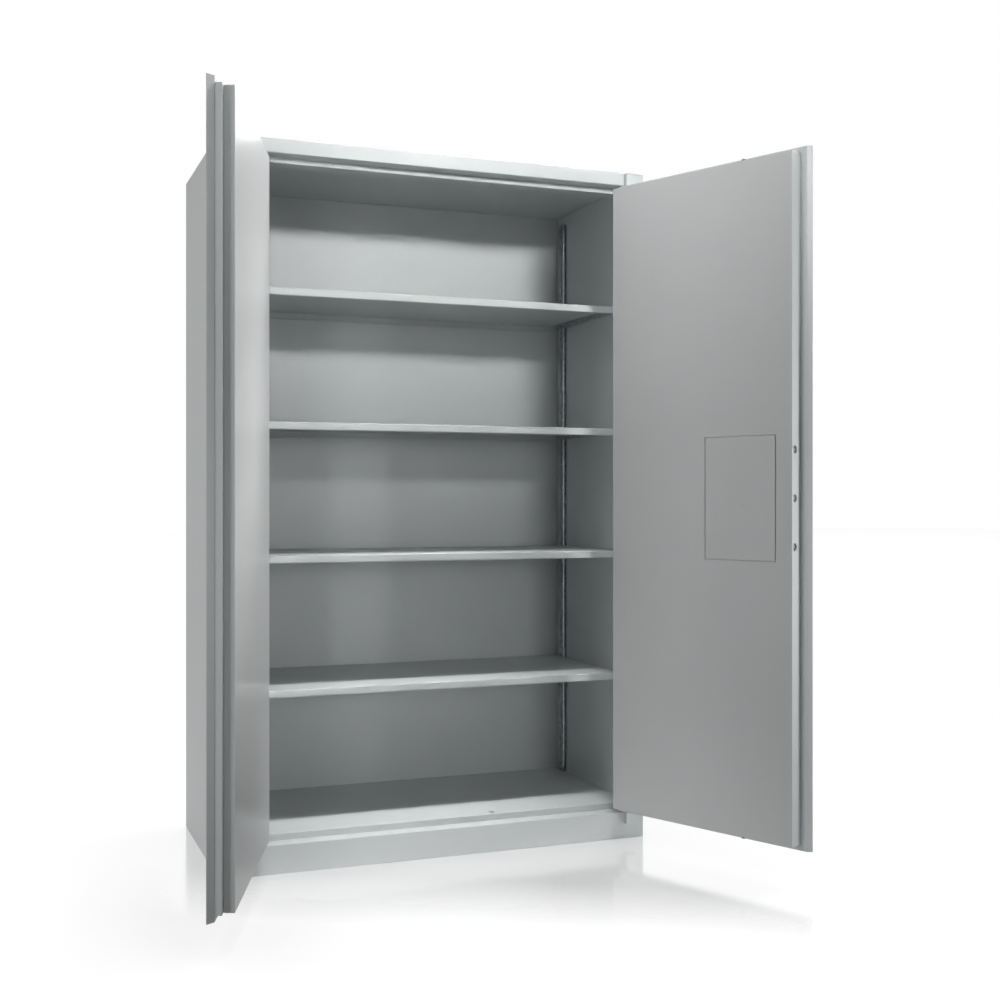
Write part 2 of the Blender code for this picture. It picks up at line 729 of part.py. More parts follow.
def make_bolt_work(pivot):
    """Bar with three side bolts, and the rods that go up and down, all drawn in at rest."""
    bar_end = BAR_START + BAR_WIDTH
    bar_reach = SIDE_BOLT_PITCH + BAR_END
    box(
        "bolt_bar",
        (-BAR_START, -bar_end),
        (BAR_FACE, BAR_FACE + 2 * SIDE_BOLT_RADIUS),
        (CASE_HEIGHT - bar_reach, CASE_HEIGHT + bar_reach),
        ZINC_PLATE,
        pivot,
    )
    bolt_span = (-(CORE_END - SIDE_BOLT_RECESS), -(bar_end + GAP))
    for number, height in side_bolt_heights():
        name = "side_bolt_%d" % number
        round_bar(name, "x", (SIDE_BOLT_DEPTH, height), bolt_span, SIDE_BOLT_RADIUS, ZINC_PLATE, pivot)
    top_span = (LOCK_HEIGHT + ROD_START, CORE_HIGH + ROD_SHOW)
    bottom_span = (CORE_LOW - ROD_SHOW, LOCK_HEIGHT - ROD_START)
    for name, span in (("top_rod", top_span), ("bottom_rod", bottom_span)):
        round_bar(name, "z", (-ROD_ALONG, ROD_PLACE), span, ROD_RADIUS, ZINC_PLATE, pivot)


def main():
    clear_scene()
    make_frame()
    make_shell()
    make_stops()
    make_uprights()
    make_shelves()
    for side, sign in (("left", -1.0), ("right", 1.0)):
        make_fixed_hinges(side, sign * (RIGHT - PIVOT_INSET))
    left_pivot = add_empty("left_door_pivot", (LEFT + PIVOT_INSET, PIVOT_Y, 0.0), -LEFT_OPENING)
    right_pivot = add_empty("right_door_pivot", (RIGHT - PIVOT_INSET, PIVOT_Y, 0.0), RIGHT_OPENING)
    make_left_door(left_pivot)
    make_right_door(right_pivot)
    make_handle(right_pivot)
    make_key_cylinder(right_pivot)
    make_bolt_work(right_pivot)


main()
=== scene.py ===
"""Looks of a two-door steel office cabinet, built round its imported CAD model.

Units are metres, +Z is up and the front faces -Y. Door pieces are drawn in the door's closed pose, with the
pivot at the origin, and are then turned to where the door stands open.
"""

import json
import math

import bmesh
import bpy
from mathutils import Matrix, Vector


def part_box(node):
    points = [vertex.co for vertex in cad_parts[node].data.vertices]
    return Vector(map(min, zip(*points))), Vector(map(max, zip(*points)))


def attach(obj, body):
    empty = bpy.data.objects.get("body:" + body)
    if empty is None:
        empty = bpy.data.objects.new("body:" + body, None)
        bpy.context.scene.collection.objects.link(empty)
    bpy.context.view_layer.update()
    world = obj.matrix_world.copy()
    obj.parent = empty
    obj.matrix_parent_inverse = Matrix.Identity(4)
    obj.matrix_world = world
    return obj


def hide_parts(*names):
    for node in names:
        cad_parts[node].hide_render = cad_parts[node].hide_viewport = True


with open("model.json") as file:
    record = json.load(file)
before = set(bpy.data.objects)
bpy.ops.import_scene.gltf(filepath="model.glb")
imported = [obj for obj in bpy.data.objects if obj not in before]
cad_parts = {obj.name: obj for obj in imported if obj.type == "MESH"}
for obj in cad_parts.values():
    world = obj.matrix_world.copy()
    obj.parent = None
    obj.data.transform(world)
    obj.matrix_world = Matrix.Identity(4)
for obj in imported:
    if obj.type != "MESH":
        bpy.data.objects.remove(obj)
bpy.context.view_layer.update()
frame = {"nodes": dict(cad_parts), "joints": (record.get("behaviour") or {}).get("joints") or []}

# Rounded edges and bends
FRAME_EDGE = 0.0022
PANEL_EDGE = 0.0018
STOP_EDGE = 0.0016
DOOR_EDGE = 0.0014
PLATE_EDGE = 0.0007
BLOCK_EDGE = 0.001
ROUND_STEPS = 3
ROUND_PROFILE = 0.5
BEND_STEPS = 4
TURN_STEPS = 48
# Edges that turn by more than this are rounded, or shaded as sharp
SHARP_ANGLE = math.radians(42.0)
# Corners of a line that are wider than this count as straight
STRAIGHT_ANGLE = math.radians(179.0)
# Cutters reach this far past the face that they cut
OVERCUT = 0.004

# Shelves, bearers and slotted uprights
SHELF_SHEET = 0.0015
SHELF_LIP = 0.012
SHELF_BEND = 0.0022
BEARER_SHEET = 0.002
BEARER_BEND = 0.0022
UPRIGHT_SHEET = 0.0015
UPRIGHT_BEND = 0.0018
SLOT_WIDTH = 0.0045
SLOT_HEIGHT = 0.0125
SLOT_PITCH = 0.025
SLOT_END = 0.020

# Doors and lock
PLATE_EDGE_FLAT = 0.0015
# A lining's face is broad where the cosine of its angle to the inward direction is more than this
BROAD_FACE_COSINE = 0.6
COVER_GROOVE = 0.0018
COVER_EDGE = 0.0014
COVER_LEDGE = 0.004
CASE_FLOOR = 0.002
MOUTH = 0.0012
SPINDLE_MOUTH = 0.0004
KEEPER_RADIUS = 0.009
BOLT_CLEARANCE = 0.0014
ROD_CLEARANCE = 0.0005
PIN_CLEARANCE = 0.0003
BOLT_EDGE = 0.003
ROD_EDGE = 0.0016

# Handle and key cylinder
LEVER_EDGE = 0.0036
LEVER_TIP_RADIUS = 0.009
ROSETTE_EDGE = 0.0024
HUB_EDGE = 0.002
KEY_EDGE = 0.0014
# Width, length and height of the tool that cuts the keyway, which goes in for half its length
KEYWAY = (0.0022, 0.012, 0.009)

# Finishes: dark and light colour, and smoothest and dullest roughness
COAT_COLOURS = ("#C2C6C7", "#C9CDCD")
COAT_ROUGHNESS = (0.36, 0.46)
COAT_IOR = 1.5
LINING_COLOURS = ("#BBBCBC", "#C2C3C3")
LINING_ROUGHNESS = (0.28, 0.34)
ZINC_COLOURS = ("#A2A6AA", "#C3C6C8")
ZINC_ROUGHNESS = (0.34, 0.48)
STEEL_COLOURS = ("#505255", "#7A7C7F")
STEEL_ROUGHNESS = (0.32, 0.45)
CHROME_COLOURS = ("#B9BABC", "#D0D1D2")
CHROME_ROUGHNESS = (0.22, 0.32)
NICKEL_COLOURS = ("#B3AB98", "#CFC9BA")
NICKEL_ROUGHNESS = (0.22, 0.34)

# Patterns. Real orange peel is about 1.5 mm wide, drawing lines are 0.3 mm and brush marks 0.2 mm apart.
# That is too fine to show, so each is drawn as many times coarser as it is multiplied by here
PEEL_WIDTH = 0.0015 * 3
DRAW_LINE = 0.0003 * 5
BRUSH_MARK = 0.0002 * 6
PEEL_DEPTH = 0.0002
MARK_DEPTH = 0.0001
CLOUD_WIDTH = 0.30
CRYSTAL_WIDTH = 0.010
# Scale of the marks along each axis: a small one draws them out into lines that way
UPRIGHT_LINES = (1.0, 1.0, 0.1)
LEVEL_LINES = (0.15, 0.15, 1.0)
EVEN_MARKS = (1.0, 1.0, 1.0)

# Camera, matched to the photograph's viewing angle in a square image
LENS = 43.079
SENSOR = 36.0
CAMERA_PLACE = (-1.2027, -3.3725, 0.9944)
CAMERA_YAW = 18.907
CAMERA_SHIFT = (0.10365, -0.00112)
LEVEL_VIEW = math.radians(90.0)

# Floor, white by its glow, which painted shade dims close to the cabinet. Its own colour is dark, so that the
# lamps don't wash out the painted shade
FLOOR_SIZE = 60.0
FLOOR_COLOUR = "#545454"
FLOOR_GLOW = 1.0
FLOOR_PAINTED_SHADE = 0.58
SHADE_REACH = 0.55
SHADE_SAMPLES = 8

# Polish of the floor. It fades in along a line that is turned from X by SHEEN_TURN degrees, from SHEEN_END in
# front of the cabinet's middle, over a length of SHEEN_FADE
SHEEN_SHARE = 0.48
SHEEN_BLUR = 0.13
SHEEN_TURN = 63.0
SHEEN_END = 0.80
SHEEN_FADE = 0.38

# Light
WHITE = (1.0, 1.0, 1.0, 1.0)
WORLD_LIGHT = 0.06
# Soft boxes: place, aim, width and height, watts, and how wide the light spreads in degrees
LAMPS = {
    "overhead": ((0.05, -1.0, 2.9), (0.0, -0.5, 1.0), (0.6, 0.5), 5.2, 180.0),
    "sill_top": ((-0.05, -1.3, 4.6), (-0.05, -0.32, 0.08), (0.7, 0.3), 3.9, 22.0),
    "right_high": ((8.0, 0.9, 9.3), (-0.75, -0.5, 1.0), (3.0, 3.0), 130.0, 50.0),
    "left_front": ((-3.4, -1.95, 1.3), (0.2, -0.5, 0.95), (1.0, 1.8), 40.0, 180.0),
    "rail_front": ((0.3, -4.5, 2.6), (0.26, -0.27, 2.15), (1.2, 0.4), 5.4, 30.0),
    "front_fill": ((0.2, -4.4, 1.1), (0.05, -0.3, 0.65), (0.8, 1.0), 1.7, 44.0),
    "right_edge": ((3.2, -2.4, 1.0), (0.97, -0.86, 0.95), (0.5, 1.4), 3.4, 34.0),
    "rear_fill": ((0.8, 3.6, 2.6), (0.0, 0.27, 1.0), (2.0, 2.0), 36.0, 180.0),
}

# Where the two sides of an outline and the push lie, for each plane
PLANES = {
    "xy": lambda across, up, along: (across, up, along),
    "xz": lambda across, up, along: (across, along, up),
    "yz": lambda across, up, along: (along, across, up),
}


# Places

def door_place(swing, limit):
    """Matrix from a door's closed pose, with its pivot at the origin, to where the door stands open."""
    joint = next(joint for joint in frame["joints"] if joint["name"] == swing)
    pivot = Vector((joint["pos_m"][0], joint["pos_m"][1], 0.0))
    closing = math.radians(joint["range_deg"][limit])
    return Matrix.Translation(pivot) @ Matrix.Rotation(-closing, 4, "Z")


LEFT_DOOR = door_place("left_door_swing", 1)
RIGHT_DOOR = door_place("right_door_swing", 0)


def closed_corners(place, node):
    """Corners of a CAD node in its door's closed pose."""
    back = place.inverted()
    return [back @ vertex.co for vertex in frame["nodes"][node].data.vertices]


def closed_box(place, node):
    """Lowest and highest corner of a CAD node in its door's closed pose."""
    corners = closed_corners(place, node)
    low = Vector([min(corner[axis] for corner in corners) for axis in range(3)])
    high = Vector([max(corner[axis] for corner in corners) for axis in range(3)])
    return low, high


def numbers_of(start):
    """Numbers 1, 2, 3 and so on of the CAD nodes whose names start with these letters."""
    count = sum(node.startswith(start) for node in frame["nodes"])
    return range(1, count + 1)


# Shapes

def block(low, high, edge):
    """Folded box with every edge rounded."""
    shape = bmesh.new()
    middle = Matrix.Translation((low + high) / 2)
    bmesh.ops.create_cube(shape, size=1.0, matrix=middle @ Matrix.Diagonal((*(high - low), 1.0)))
    round_edges(shape, edge)
    return shape


def round_edges(shape, edge):
    """Round every sharp edge of a shape."""
    bmesh.ops.bevel(
        shape,
        geom=[line for line in shape.edges if line.calc_face_angle(0.0) > SHARP_ANGLE],
        offset=edge,
        segments=ROUND_STEPS,
        profile=ROUND_PROFILE,
        affect="EDGES",
        clamp_overlap=True,
    )


def pushed(outline, plane, span, edge=0.0):
    """Outline in one plane, pushed along the third axis between two values."""
    place = PLANES[plane]
    shape = bmesh.new()
    corners = [shape.verts.new(place(across, up, span[0])) for across, up in outline]
    push_faces(shape, [shape.faces.new(corners)], place(0.0, 0.0, span[1] - span[0]), edge)
    return shape


def push_faces(shape, faces, step, edge):
    """Push faces by a step into a solid, and round its edges if an edge is given."""
    grown = bmesh.ops.extrude_face_region(shape, geom=faces)
    moved = [item for item in grown["geom"] if isinstance(item, bmesh.types.BMVert)]
    bmesh.ops.translate(shape, verts=moved, vec=Vector(step))
    bmesh.ops.recalc_face_normals(shape, faces=shape.faces)
    if edge:
        round_edges(shape, edge)


def rectangle(left, right, low, high):
    """Four corners of an upright rectangle, in order round it."""
    return [(left, low), (right, low), (right, high), (left, high)]


def filleted(points, radius):
    """Line through the points, with an arc in place of each corner between its ends."""
    line = [Vector(points[0])]
    for before, corner, after in zip(points, points[1:], points[2:]):
        corner = Vector(corner)
        back = (Vector(before) - corner).normalized()
        ahead = (Vector(after) - corner).normalized()
        if back.angle(ahead) > STRAIGHT_ANGLE:
            line.append(corner)
            continue
        half = back.angle(ahead) / 2
        centre = corner + (back + ahead).normalized() * radius / math.sin(half)
        start = (corner + back * radius / math.tan(half) - centre).normalized()
        end = (corner + ahead * radius / math.tan(half) - centre).normalized()
        line += [centre + start.slerp(end, step / BEND_STEPS) * radius for step in range(BEND_STEPS + 1)]
    line.append(Vector(points[-1]))
    return line


def sheet_section(path, sheet, bend):
    """Closed outline of a sheet that is bent along its middle line."""
    line = filleted(path, bend)
    left, right = [], []
    for index, point in enumerate(line):
        ahead = line[min(index + 1, len(line) - 1)] - line[max(index - 1, 0)]
        side = Vector((-ahead.y, ahead.x)).normalized() * sheet / 2
        left.append(point + side)
        right.append(point - side)
    return left + right[::-1]


def turned(profile, axis, centre, closed=False):
    """Turned part: radius and place along the axis for each point; closed makes a ring."""
    shape = bmesh.new()
    rings = []
    for radius, along in profile:
        count = TURN_STEPS if radius > 0.0 else 1
        ring = []
        for step in range(count):
            angle = 2 * math.pi * step / TURN_STEPS
            spot = [centre[0] + radius * math.cos(angle), centre[1] + radius * math.sin(angle)]
            spot.insert("xyz".index(axis), along)
            ring.append(shape.verts.new(spot))
        rings.append(ring)
    pairs = list(zip(rings, rings[1:] + rings[:1]))
    for first, second in pairs if closed else pairs[:-1]:
        for step in range(TURN_STEPS):
            ahead = (step + 1) % TURN_STEPS
            corners = [first[step % len(first)], first[ahead % len(first)]]
            corners += [second[ahead % len(second)], second[step % len(second)]]
            shape.faces.new(list(dict.fromkeys(corners)))
    bmesh.ops.recalc_face_normals(shape, faces=shape.faces)
    return shape


def rounded_bar(radius, span, edge):
    """Profile of a round bar with rounded ends."""
    start, end = span
    return filleted([(0.0, start), (radius, start), (radius, end), (0.0, end)], edge)


def ring_profile(inner, outer, front, back, edge):
    """Closed profile of a flanged ring with a rounded front edge."""
    return filleted([(inner, front), (outer, front), (outer, back)], edge) + [(inner, back)]


def flared_cutter(radius, mouth, inside, face, outside):
    """Profile of a tool that bores a hole with a chamfered mouth at a face."""
    lip = mouth if outside > face else -mouth
    flare = radius + mouth + abs(outside - face)
    return [(0.0, inside), (radius, inside), (radius, face - lip), (flare, outside), (0.0, outside)]


def new_object(name, shape):
    """Object in the scene with the mesh of a shape, which is used up."""
    mesh = bpy.data.meshes.new(name)
    shape.to_mesh(mesh)
    shape.free()
    thing = bpy.data.objects.new(name, mesh)
    bpy.context.scene.collection.objects.link(thing)
    return thing


def cut_away(shape, cutters):
    """The shape with the cutters taken out of it."""
    target = new_object("tool", shape)
    tools = [new_object("tool", cutter) for cutter in cutters]
    for tool in tools:
        modifier = target.modifiers.new("cut", "BOOLEAN")
        modifier.solver = "EXACT"
        modifier.object = tool
    graph = bpy.context.evaluated_depsgraph_get()
    result = bmesh.new()
    result.from_mesh(target.evaluated_get(graph).to_mesh())
    for thing in [target, *tools]:
        bpy.data.objects.remove(thing)
    return result


# Finishes

def hex_colour(code):
    """sRGB hex value as linear red, green and blue, with alpha."""
    shares = [int(code[start:start + 2], 16) / 255 for start in (1, 3, 5)]
    linear = [share / 12.92 if share <= 0.04045 else ((share + 0.055) / 1.055) ** 2.4 for share in shares]
    return (*linear, 1.0)


def add_node(tree, kind, settings=None, links=None):
    """Add a node; settings name its inputs or its own options, links name inputs and what feeds them."""
    node = tree.nodes.new(kind)
    for name, value in (settings or {}).items():
        if hasattr(node, str(name)):
            setattr(node, name, value)
        else:
            node.inputs[name].default_value = value
    for name, output in (links or {}).items():
        tree.links.new(output, node.inputs[name])
    return node


def new_finish(name, sockets):
    """Material, its tree, its shader with these sockets set, and the place of each point on the piece."""
    material = bpy.data.materials.new(name)
    material.use_nodes = True
    tree = material.node_tree
    shader = tree.nodes["Principled BSDF"]
    for socket, value in sockets.items():
        shader.inputs[socket].default_value = value
    place = add_node(tree, "ShaderNodeTexCoord").outputs["Object"]
    return material, tree, shader, place


def vary_finish(tree, shader, colours, roughness, colour_share, gloss_share):
    """Run a finish from its dark to its light colour and from smooth to dull, as two patterns say.

    The colour sockets of a mix share their names with other sockets, so they go by number.
    """
    dark, light = [hex_colour(code) for code in colours]
    smooth, dull = roughness
    colour = add_node(tree, "ShaderNodeMix", {"data_type": "RGBA", 6: dark, 7: light}, {0: colour_share})
    gloss = add_node(tree, "ShaderNodeMapRange", {"To Min": smooth, "To Max": dull}, {"Value": gloss_share})
    tree.links.new(colour.outputs[2], shader.inputs["Base Color"])
    tree.links.new(gloss.outputs["Result"], shader.inputs["Roughness"])


def powder_coated_steel(name, colours, roughness):
    """Polyester powder baked on sheet steel: light grey, with the shallow dimples of orange peel."""
    material, tree, shader, place = new_finish(name, {"IOR": COAT_IOR})
    cloud = add_node(tree, "ShaderNodeTexNoise", {"Scale": 1 / CLOUD_WIDTH, "Detail": 4.0}, {"Vector": place})
    peel = add_node(
        tree,
        "ShaderNodeTexNoise",
        {"Scale": 1 / PEEL_WIDTH, "Detail": 2.0, "Roughness": 0.45},
        {"Vector": place},
    )
    dimples = add_node(
        tree, "ShaderNodeBump", {"Strength": 0.35, "Distance": PEEL_DEPTH}, {"Height": peel.outputs["Fac"]}
    )
    vary_finish(tree, shader, colours, roughness, cloud.outputs["Fac"], cloud.outputs["Fac"])
    tree.links.new(dimples.outputs["Normal"], shader.inputs["Normal"])
    return material


def zinc_plated_steel():
    """Zinc on steel strip: pale grey metal whose crystals catch the light a little differently."""
    material, tree, shader, place = new_finish("zinc_plated_steel", {"Metallic": 1.0})
    crystal = add_node(tree, "ShaderNodeTexVoronoi", {"Scale": 1 / CRYSTAL_WIDTH}, {"Vector": place})
    shade = add_node(tree, "ShaderNodeSeparateColor", links={"Color": crystal.outputs["Color"]})
    vary_finish(tree, shader, ZINC_COLOURS, ZINC_ROUGHNESS, shade.outputs["Red"], shade.outputs["Green"])
    return material


def marked_metal(name, colours, roughness, spacing, stretch):
    """Metal with fine marks, which the stretch draws out into lines."""
    material, tree, shader, place = new_finish(name, {"Metallic": 1.0})
    drawn = add_node(tree, "ShaderNodeMapping", {"Scale": stretch}, {"Vector": place})
    marks = add_node(
        tree, "ShaderNodeTexNoise", {"Scale": 1 / spacing, "Detail": 3.0}, {"Vector": drawn.outputs["Vector"]}
    )
    grooves = add_node(
        tree, "ShaderNodeBump", {"Strength": 0.2, "Distance": MARK_DEPTH}, {"Height": marks.outputs["Fac"]}
    )
    vary_finish(tree, shader, colours, roughness, marks.outputs["Fac"], marks.outputs["Fac"])
    tree.links.new(grooves.outputs["Normal"], shader.inputs["Normal"])
    return material


# Satin coat of the carcass and the outer plates: pale grey with a breath of green and blue
SATIN_COAT = powder_coated_steel("satin_powder_coat", COAT_COLOURS, COAT_ROUGHNESS)
# Smoother coat of the door linings: neutral grey that mirrors large shapes softly
GLOSS_COAT = powder_coated_steel("gloss_powder_coat", LINING_COLOURS, LINING_ROUGHNESS)
# Drawn bar: dull grey steel with faint upright lines
DRAWN_BAR = marked_metal("drawn_steel_bar", STEEL_COLOURS, STEEL_ROUGHNESS, DRAW_LINE, UPRIGHT_LINES)
# Brushed chrome: pale metal with a soft sheen across its level brush lines
SATIN_CHROME = marked_metal("satin_chromed_zinc", CHROME_COLOURS, CHROME_ROUGHNESS, BRUSH_MARK, LEVEL_LINES)
# Nickel on turned brass: warm pale metal, finely mottled
NICKELLED_BRASS = marked_metal("nickelled_brass", NICKEL_COLOURS, NICKEL_ROUGHNESS, BRUSH_MARK, EVEN_MARKS)

# Each finish with the record's slot that it belongs to
COAT = (SATIN_COAT, "powder_coat")
LINING_COAT = (GLOSS_COAT, "powder_coat")
ZINC = (zinc_plated_steel(), "zinc_plate")
BOLT_STEEL = (DRAWN_BAR, "zinc_plate")
CHROME = (SATIN_CHROME, "satin_chrome")
NICKEL = (NICKELLED_BRASS, "nickelled_brass")


# Pieces

def add_piece(name, shape, finish, body, nodes=(), place=None):
    """Turn a shape into a piece that rides on a body and stands for CAD nodes."""
    material, slot = finish
    if place:
        bmesh.ops.transform(shape, matrix=place, verts=shape.verts)
    bmesh.ops.recalc_face_normals(shape, faces=shape.faces)
    piece = new_object(name, shape)
    piece.data.materials.append(material)
    piece.data.shade_smooth()
    piece.data.set_sharp_from_angle(angle=SHARP_ANGLE)
    flat = piece.modifiers.new("flat_faces", "WEIGHTED_NORMAL")
    flat.keep_sharp = True
    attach(piece, body)
    if nodes:
        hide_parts(*nodes)
    return piece


def coat_edges(piece, finish, place):
    """Give the narrow faces round a door lining another coat than its broad face."""
    piece.data.materials.append(finish[0])
    inward = place.to_3x3() @ Vector((0.0, 1.0, 0.0))
    for face in piece.data.polygons:
        if face.normal.dot(inward) < BROAD_FACE_COSINE:
            face.material_index = 1


def dress_node(node, finish):
    """Give a CAD node that shows as it is a better material."""
    material, slot = finish
    thing = frame["nodes"][node]
    for holder in thing.material_slots:
        holder.material = material


# Carcass

def make_front_frame():
    """Welded frame round the opening, ground smooth at its corners."""
    sill_low, sill_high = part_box("frame_sill")
    rail_low, rail_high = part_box("frame_top_rail")
    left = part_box("frame_stile_left")[1].x
    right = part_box("frame_stile_right")[0].x
    front, back = sill_low.y, sill_high.y
    outside = rectangle(sill_low.x, rail_high.x, sill_low.z, rail_high.z)
    opening = rectangle(left, right, sill_high.z, rail_low.z)
    shape = bmesh.new()
    outer, inner = [[shape.verts.new((x, front, z)) for x, z in loop] for loop in (outside, opening)]
    faces = []
    for start in range(len(outer)):
        end = (start + 1) % len(outer)
        faces.append(shape.faces.new((outer[start], outer[end], inner[end], inner[start])))
    push_faces(shape, faces, (0.0, back - front, 0.0), FRAME_EDGE)
    nodes = ("frame_sill", "frame_top_rail", "frame_stile_left", "frame_stile_right")
    add_piece("front_frame", shape, COAT, "carcass", nodes)


def make_shell():
    """Sides and top bent from one wrap, with the back let in between them."""
    left_low, left_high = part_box("side_wall_left")
    right_low, right_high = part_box("side_wall_right")
    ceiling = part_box("top_panel")[0].z
    low, high = left_low.z, left_high.z
    outline = [
        (left_low.x, low), (left_low.x, high), (right_high.x, high), (right_high.x, low),
        (right_low.x, low), (right_low.x, ceiling), (left_high.x, ceiling), (left_high.x, low),
    ]
    wrap = pushed(outline, "xz", (left_low.y, left_high.y), PANEL_EDGE)
    add_piece("carcass_wrap", wrap, COAT, "carcass", ("side_wall_left", "side_wall_right", "top_panel"))
    add_piece("carcass_back", block(*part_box("back_panel"), PANEL_EDGE), COAT, "carcass", ("back_panel",))
    dress_node("base_plinth", COAT)


def make_floor_and_stops():
    """Floor tray and door stops, with the holes that the two rods enter."""
    rod_low, rod_high = closed_box(RIGHT_DOOR, "top_rod")
    keeper = (rod_low + rod_high) / 2 + RIGHT_DOOR.translation
    for name, node, face in (("floor_tray", "floor_panel", 1), ("head_stop", "top_stop", 0)):
        low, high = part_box(node)
        level = (low, high)[face].z
        out = 1.0 if face else -1.0
        profile = flared_cutter(KEEPER_RADIUS, MOUTH, level - OVERCUT * 2 * out, level, level + OVERCUT * out)
        cutter = turned(profile, "z", (keeper.x, keeper.y))
        shape = cut_away(block(low, high, STOP_EDGE), [cutter])
        add_piece(name, shape, COAT, "carcass", (node,))
    for side in ("left", "right"):
        node = "side_stop_" + side
        add_piece("jamb_stop_" + side, block(*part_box(node), STOP_EDGE), COAT, "carcass", (node,))


def slotted_upright(low, high, wall, face):
    """Channel with a row of slots down its face, open towards the wall."""
    middle = (low.y + high.y) / 2
    inset = UPRIGHT_SHEET / 2
    web = face - math.copysign(inset, face - wall)
    slot_start = (web, middle - SLOT_WIDTH / 2)
    slot_end = (web, middle + SLOT_WIDTH / 2)
    path = [
        (wall, low.y + inset), (web, low.y + inset), slot_start,
        slot_end, (web, high.y - inset), (wall, high.y - inset),
    ]
    line = filleted(path, UPRIGHT_BEND)
    slot_column = line.index(Vector(slot_start))
    heights = [low.z]
    slot_rows = set()
    start = low.z + SLOT_END
    while start + SLOT_HEIGHT + SLOT_END < high.z:
        slot_rows.add(len(heights))
        heights += [start, start + SLOT_HEIGHT]
        start += SLOT_PITCH
    heights.append(high.z)
    shape = bmesh.new()
    rows = [[shape.verts.new((point.x, point.y, height)) for point in line] for height in heights]
    for row, (lower, upper) in enumerate(zip(rows, rows[1:])):
        for column in range(len(line) - 1):
            if column == slot_column and row in slot_rows:
                continue
            shape.faces.new((lower[column], lower[column + 1], upper[column + 1], upper[column]))
    bmesh.ops.recalc_face_normals(shape, faces=shape.faces)
    return shape


def make_uprights():
    """Slotted uprights in the four corners, on the side walls."""
    for side in ("left", "right"):
        for row in ("front", "rear"):
            node = "upright_%s_%s" % (side, row)
            low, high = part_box(node)
            wall, face = (low.x, high.x) if side == "left" else (high.x, low.x)
            shape = slotted_upright(low, high, wall, face)
            piece = add_piece("slotted_" + node, shape, ZINC, "carcass", (node,))
            thick = piece.modifiers.new("sheet", "SOLIDIFY")
            thick.thickness = UPRIGHT_SHEET
            thick.offset = 0.0


def make_shelves():
    """Folded shelves, each on a bent bearer at either side."""
    for number in numbers_of("shelf_"):
        node = "shelf_%d" % number
        low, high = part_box(node)
        inset = SHELF_SHEET / 2
        front, back, under, top = low.y + inset, high.y - inset, low.z + inset, high.z - inset
        path = [
            (low.y + SHELF_LIP, under), (front, under), (front, top),
            (back, top), (back, under), (high.y - SHELF_LIP, under),
        ]
        outline = sheet_section(path, SHELF_SHEET, SHELF_BEND)
        add_piece("folded_" + node, pushed(outline, "yz", (low.x, high.x)), COAT, "carcass", (node,))
        for side in ("left", "right"):
            node = "bearer_%s_%d" % (side, number)
            low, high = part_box(node)
            wall, tip = (low.x, high.x) if side == "left" else (high.x, low.x)
            stem = wall + math.copysign(BEARER_SHEET / 2, tip - wall)
            top = high.z - BEARER_SHEET / 2
            outline = sheet_section([(stem, low.z), (stem, top), (tip, top)], BEARER_SHEET, BEARER_BEND)
            add_piece("bent_" + node, pushed(outline, "xz", (low.y, high.y)), ZINC, "carcass", (node,))


def pin_cutter(place, pin):
    """Tool that makes room for a hinge pin."""
    low, high = closed_box(place, pin)
    radius = (high.x - low.x) / 2 + PIN_CLEARANCE
    middle = (low + high) / 2
    span = (low.z - PIN_CLEARANCE, high.z + PIN_CLEARANCE)
    return turned(rounded_bar(radius, span, PIN_CLEARANCE), "z", (middle.x, middle.y))


def barrel_shape(place, node, pin):
    """Round barrel with a web to the door plate, drawn with the web towards +X and mirrored if need be."""
    low, high = closed_box(place, node)
    radius = -low.y
    web = min(-low.x, high.x)
    sign = 1.0 if high.x > -low.x else -1.0
    start = math.acos(web / radius)
    sweep = math.pi + start
    outline = [(radius, high.y), (-web, high.y)]
    for step in range(TURN_STEPS + 1):
        angle = math.pi - start + sweep * step / TURN_STEPS
        outline.append((radius * math.cos(angle), radius * math.sin(angle)))
    outline = [(sign * across, through) for across, through in outline]
    shape = pushed(outline, "xy", (low.z, high.z), PLATE_EDGE)
    return cut_away(shape, [pin_cutter(place, pin)])


def make_hinges():
    """Blocks welded on the frame, and barrels on the doors, round the same pins."""
    still = Matrix.Identity(4)
    for side, place in (("left", LEFT_DOOR), ("right", RIGHT_DOOR)):
        for end in ("top", "bottom"):
            pin = "hinge_pin_%s_%s" % (side, end)
            node = "hinge_block_%s_%s" % (side, end)
            shape = cut_away(block(*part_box(node), BLOCK_EDGE), [pin_cutter(still, pin)])
            add_piece("welded_" + node, shape, COAT, "carcass", (node,))
            dress_node(pin, ZINC)
            node = "door_barrel_%s_%s" % (side, end)
            add_piece("rounded_" + node, barrel_shape(place, node, pin), COAT, side + "_door", (node,), place)


# Doors

def plate_shape(low, high, free_side):
    """Outer plate with its free edge cut back at 45 degrees behind a narrow flat."""
    free, hinge = (high.x, low.x) if free_side > 0 else (low.x, high.x)
    set_back = free - free_side * (high.y - low.y - PLATE_EDGE_FLAT)
    outline = [
        (hinge, low.y), (free, low.y), (free, low.y + PLATE_EDGE_FLAT), (set_back, high.y), (hinge, high.y),
    ]
    return pushed(outline, "xy", (low.z, high.z), PLATE_EDGE)


def make_left_door():
    """Outer plate, rebate step and inner tray, one behind the other."""
    low, high = closed_box(LEFT_DOOR, "left_door_plate")
    plate = plate_shape(low, high, 1.0)
    add_piece("left_outer_plate", plate, COAT, "left_door", ("left_door_plate",), LEFT_DOOR)
    for name, node in (("left_rebate_step", "left_door_step"), ("left_inner_tray", "left_door_inner")):
        shape = block(*closed_box(LEFT_DOOR, node), DOOR_EDGE)
        piece = add_piece(name, shape, LINING_COAT, "left_door", (node,), LEFT_DOOR)
        coat_edges(piece, COAT, LEFT_DOOR)


